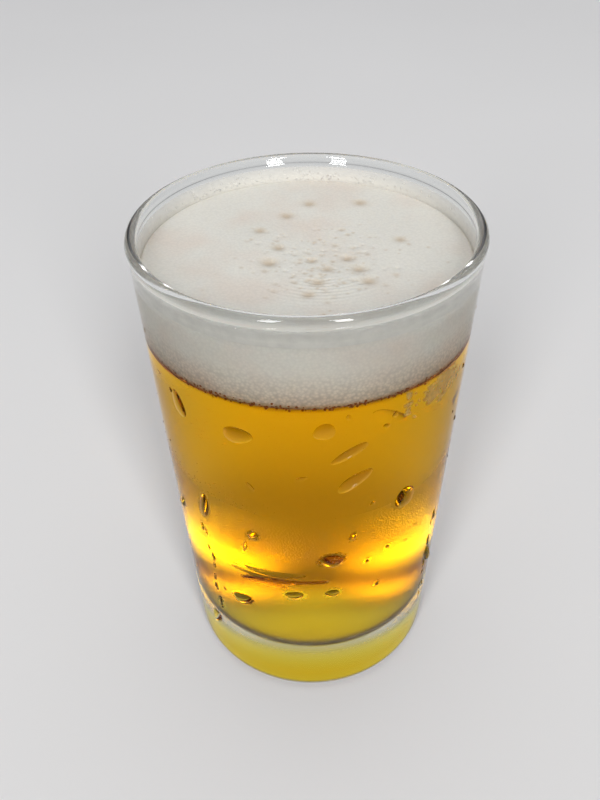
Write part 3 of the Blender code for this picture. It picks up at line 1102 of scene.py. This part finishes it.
@dataclass
class Lace:
    """Traces of foam on the inner wall: specks above the foam, beads along its foot, rafts under it.

    Widths and heights are in mm, and azimuths in degrees.
    """

    foam: Foam
    bead_skin: BubbleSkin = BubbleSkin("bead_skin", "8A4A18")
    raft_skin: BubbleSkin = BubbleSkin("raft_skin", "EBBF62")
    specks: int = 220
    speck_place: tuple[float, float] = (180.0, 45.0)    # middle and spread of their azimuths
    speck_rise: tuple[float, float] = (0.9, 2.6)    # spread and most
    speck_width: tuple[float, float] = (0.15, 0.55)
    speck_bulge: float = 0.14   # for the width, as in the two below
    beads: int = 620
    bead_rise: tuple[float, float] = (0.15, 0.28)   # middle and spread
    bead_width: tuple[float, float] = (0.22, 0.55)
    bead_bulge: float = 0.4
    rafts: int = 110
    raft_place: tuple[float, float] = (49.0, 86.6)  # azimuth and height of their middle
    raft_spread: tuple[float, float] = (7.0, 1.5)
    raft_drop: tuple[float, float] = (-5.0, 3.0)    # lowest and highest, from that middle
    raft_width: tuple[float, float] = (0.5, 1.9)
    raft_bulge: float = 0.25
    deep: float = 2 * REACH     # how far they reach into the glass, past the foam and the beer

    def speck_rows(self) -> Array:
        """Specks above the foam, most of them at the back of the glass.

        Returns:
            One row of sizes for each speck.
        """
        draw = np.random.default_rng(31)
        width = draw.uniform(*self.speck_width, self.specks)
        azimuth = draw.normal(*self.speck_place, self.specks)
        spread, most = self.speck_rise
        height = self.foam.top / MM + np.abs(draw.normal(0, spread, self.specks)).clip(0, most)
        return np.column_stack((
            azimuth, height, width, width * draw.uniform(0.5, 1.0, self.specks), width * self.speck_bulge,
            draw.uniform(-40, 40, self.specks), np.zeros(self.specks)))

    def bead_rows(self) -> Array:
        """Round beads along the foot of the foam, all the way round.

        Returns:
            One row of sizes for each bead.
        """
        draw = np.random.default_rng(32)
        width = draw.uniform(*self.bead_width, self.beads)
        azimuth = draw.uniform(-180, 180, self.beads)
        height = self.foam.bottom / MM + draw.normal(*self.bead_rise, self.beads)
        return np.column_stack((
            azimuth, height, width, width * draw.uniform(0.8, 1.1, self.beads), width * self.bead_bulge,
            np.zeros(self.beads), np.zeros(self.beads)))

    def raft_rows(self) -> Array:
        """Rafts of foam that cling to the wall just under the head, at the right.

        Returns:
            One row of sizes for each raft.
        """
        draw = np.random.default_rng(34)
        width = draw.uniform(*self.raft_width, self.rafts)
        azimuth = self.raft_place[0] + draw.normal(0, self.raft_spread[0], self.rafts)
        height = self.raft_place[1] + draw.normal(0, self.raft_spread[1], self.rafts).clip(*self.raft_drop)
        return np.column_stack((
            azimuth, height, width, width * draw.uniform(0.5, 0.9, self.rafts), width * self.raft_bulge,
            draw.uniform(-60, 60, self.rafts), np.zeros(self.rafts)))

    def build(self, glass: Tumbler, material: bpy.types.Material) -> list[bpy.types.Object]:
        """Make the specks, beads and rafts as three pieces.

        Args:
            glass: the tumbler they cling to.
            material: the foam's own material, for the specks.

        Returns:
            The pieces.
        """
        brown = self.bead_skin.material()
        gold = self.raft_skin.material()
        kinds = (("foam_specks", Caps(3, 10, 0.2, reach=self.deep), self.speck_rows(), 33, material),
                 ("foam_beads", Caps(3, 10, 0.1, reach=self.deep), self.bead_rows(), 35, brown),
                 ("foam_rafts", Caps(3, 12, 0.3, reach=self.deep), self.raft_rows(), 36, gold))
        return [caps.build(name, glass, rows, Side.INSIDE, seed, skin, Slot.FOAM)
                for name, caps, rows, seed, skin in kinds]


# Stage, light and camera


class Lamp(NamedTuple):
    """A soft lamp: its angle round the glass from the front, its elevation, distance, size and watts."""

    name: str
    azimuth: float              # 0 at the front, growing to the right
    elevation: float
    distance: float
    width: float
    length: float
    power: float


@dataclass
class Studio:
    """A plain pale floor, soft light and the camera at the photograph's angle."""

    floor_size: float = 9.0
    floor_drop: float = 0.1 * MM    # keeps the floor and the glass's underside out of one plane
    floor_tones: tuple[str, str] = ("E6E5E4", "E9E8E7")
    floor_patches: float = 3.0      # patches of tone in each metre
    focal_pixels: float = 750.0
    frame_height: float = 800.0
    sensor: float = 36.0
    eye: tuple[float, float, float] = (0.0, -0.12447, 0.16962)
    pitch: float = 39.627       # degrees below the horizon
    yaw: float = 0.851
    roll: float = -1.351
    sky: str = "F2F4FA"
    surroundings: float = 0.30
    aim: float = 0.05               # height over the floor that the lamps point at
    lamps: tuple[Lamp, ...] = (
        Lamp("front_right_box", 22, 34, 5.0, 0.85, 3.0, 122.0),
        Lamp("front_left_box", -24, 34, 5.0, 0.85, 3.0, 104.0),
        Lamp("back_panel", 180, 42, 4.5, 7.0, 2.6, 14.5),
        Lamp("top_panel", 180, 80, 3.0, 3.0, 2.4, 13.0))

    def floor(self) -> bpy.types.Object:
        """A wide floor of pale matt laminate, with the faintest unevenness of tone.

        Returns:
            The floor.
        """
        material, tree, out = new_material("pale_matt_laminate")
        place = add_node(tree, "TexCoord").outputs["Object"]
        tone = add_node(tree, "TexNoise", {"Vector": place, "Scale": self.floor_patches, "Detail": 2.0})
        darker, lighter = (linear(code) for code in self.floor_tones)
        colour = add_node(tree, "ValToRGB", {"Fac": tone.outputs["Fac"]}, {0.3: darker, 0.7: lighter})
        shader = add_node(tree, "BsdfPrincipled", {"Base Color": colour.outputs["Color"], "Roughness": 0.6})
        tree.links.new(shader.outputs["BSDF"], out.inputs["Surface"])
        half = self.floor_size / 2
        low = -self.floor_drop
        corners = np.array([(-half, -half, low), (half, -half, low), (half, half, low), (-half, half, low)])
        floor = make_object("floor", corners, [np.array([[0, 1, 2, 3]])], [material])
        return floor

    def lamp(self, lamp: Lamp) -> None:
        """Add one soft lamp that points at the middle of the glass.

        Args:
            lamp: where it stands and how large and strong it is.
        """
        data = bpy.data.lights.new(lamp.name, "AREA")
        data.shape = "RECTANGLE"
        data.size = lamp.width
        data.size_y = lamp.length
        data.energy = lamp.power
        azimuth, height = math.radians(lamp.azimuth), math.radians(lamp.elevation)
        turn = Matrix.Rotation(azimuth, 4, "Z") @ Matrix.Rotation(math.pi / 2 - height, 4, "X")
        box = bpy.data.objects.new(lamp.name, data)
        box.matrix_world = (Matrix.Translation((0, 0, self.aim)) @ turn
                            @ Matrix.Translation((0, 0, lamp.distance)))
        bpy.context.scene.collection.objects.link(box)

    def light(self) -> None:
        """An even pale surrounding, two tall boxes at the front, a wide panel behind and one overhead.

        The two boxes make the glows low in the beer. The panel behind lights its foot and the base,
        and the one overhead the foam and the rim.
        """
        world = bpy.data.worlds.new("surroundings")
        world.use_nodes = True
        background = world.node_tree.nodes["Background"]
        background.inputs["Color"].default_value = linear(self.sky)
        background.inputs["Strength"].default_value = self.surroundings
        bpy.context.scene.world = world
        for lamp in self.lamps:
            self.lamp(lamp)

    def camera(self) -> None:
        """The camera, with pitch, yaw and roll turned into the three axes of its matrix."""
        data = bpy.data.cameras.new("camera")
        data.sensor_width = self.sensor
        data.lens = self.focal_pixels * self.sensor / self.frame_height
        data.clip_start = 0.01
        pitch, yaw, roll = (math.radians(v) for v in (self.pitch, self.yaw, self.roll))
        turn = Matrix.Rotation(yaw, 4, "Z") @ Matrix.Rotation(math.pi / 2 - pitch, 4, "X")
        camera = bpy.data.objects.new("camera", data)
        camera.matrix_world = Matrix.Translation(self.eye) @ turn @ Matrix.Rotation(roll, 4, "Z")
        bpy.context.scene.collection.objects.link(camera)
        bpy.context.scene.camera = camera

    def depth_of_paths(self) -> None:
        """Let light pass the many clear surfaces, and show colours as they are."""
        scene = bpy.context.scene
        scene.cycles.max_bounces = 24
        scene.cycles.transmission_bounces = 24
        scene.cycles.diffuse_bounces = 4
        scene.cycles.glossy_bounces = 8
        scene.cycles.transparent_max_bounces = 16
        scene.cycles.sample_clamp_indirect = 20.0
        scene.cycles.use_denoising = True
        scene.view_settings.view_transform = "Standard"


def main() -> None:
    """Build every piece in order and report it, then the stage, light and camera."""
    logging.basicConfig(level=logging.INFO, format="%(name)s: %(message)s")
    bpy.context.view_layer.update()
    glass_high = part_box("glass")[1]
    beer_low, beer_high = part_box("beer")
    foam_low, foam_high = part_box("foam")
    level = (beer_high.z + foam_low.z) / 2
    gap = foam_low.z - beer_high.z

    glass = Tumbler(height=glass_high.z, rim_radius=glass_high.x, floor=beer_low.z - gap)
    foam = Foam(bottom=level, top=foam_high.z)
    water = Condensation()
    log.info("%s", glass.build(wet_level=foam.top - foam.edge, wiped=water.wiped()).name)
    log.info("%s", Beer(level=level).build(glass).name)
    head = foam.build(glass)
    log.info("%s", head.name)
    for piece in water.build(glass):
        log.info("%s", piece.name)
    for piece in Lace(foam).build(glass, head.data.materials[0]):
        log.info("%s", piece.name)

    studio = Studio()
    studio.floor()
    studio.light()
    studio.camera()
    studio.depth_of_paths()


if __name__ == "__main__":
    main()
